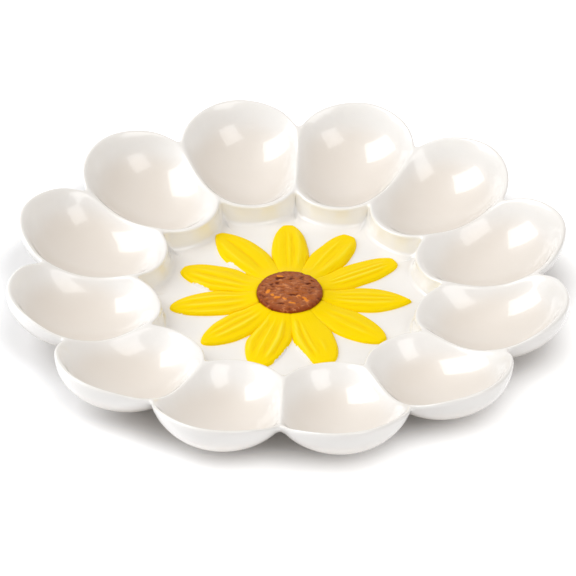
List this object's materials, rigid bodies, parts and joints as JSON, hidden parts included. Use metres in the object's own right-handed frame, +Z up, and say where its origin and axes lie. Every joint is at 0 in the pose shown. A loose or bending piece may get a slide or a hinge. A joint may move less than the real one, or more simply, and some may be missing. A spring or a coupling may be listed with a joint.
{
  "type": "deviled egg platter",
  "caption": "Round ceramic platter with a ring of oval egg cups around a recess that holds a raised painted sunflower.",
  "frame": {"origin": "on the table under the middle of the platter", "axes": "+Z up; +Y away from the viewer of the picture, between the first and second egg cups; +X to the right"},
  "size_m": [0.282, 0.282, 0.0349],
  "materials": {
    "ivory_glaze": "glossy glaze",
    "yellow_glaze": "glossy painted glaze",
    "brown_glaze": "mottled painted glaze"
  },
  "bodies": {
    "root": {"centre_dish": "ivory_glaze", "foot_ring": "ivory_glaze", "seed_head": "brown_glaze", "egg_cup_01": "ivory_glaze", "egg_cup_02": "ivory_glaze", "egg_cup_03": "ivory_glaze", "egg_cup_04": "ivory_glaze", "egg_cup_05": "ivory_glaze", "egg_cup_06": "ivory_glaze", "egg_cup_07": "ivory_glaze", "egg_cup_08": "ivory_glaze", "egg_cup_09": "ivory_glaze", "egg_cup_10": "ivory_glaze", "egg_cup_11": "ivory_glaze", "egg_cup_12": "ivory_glaze", "petal_01": "yellow_glaze", "petal_02": "yellow_glaze", "petal_03": "yellow_glaze", "petal_04": "yellow_glaze", "petal_05": "yellow_glaze", "petal_06": "yellow_glaze", "petal_07": "yellow_glaze", "petal_08": "yellow_glaze", "petal_09": "yellow_glaze", "petal_10": "yellow_glaze", "petal_11": "yellow_glaze"}
  },
  "joints": []
}
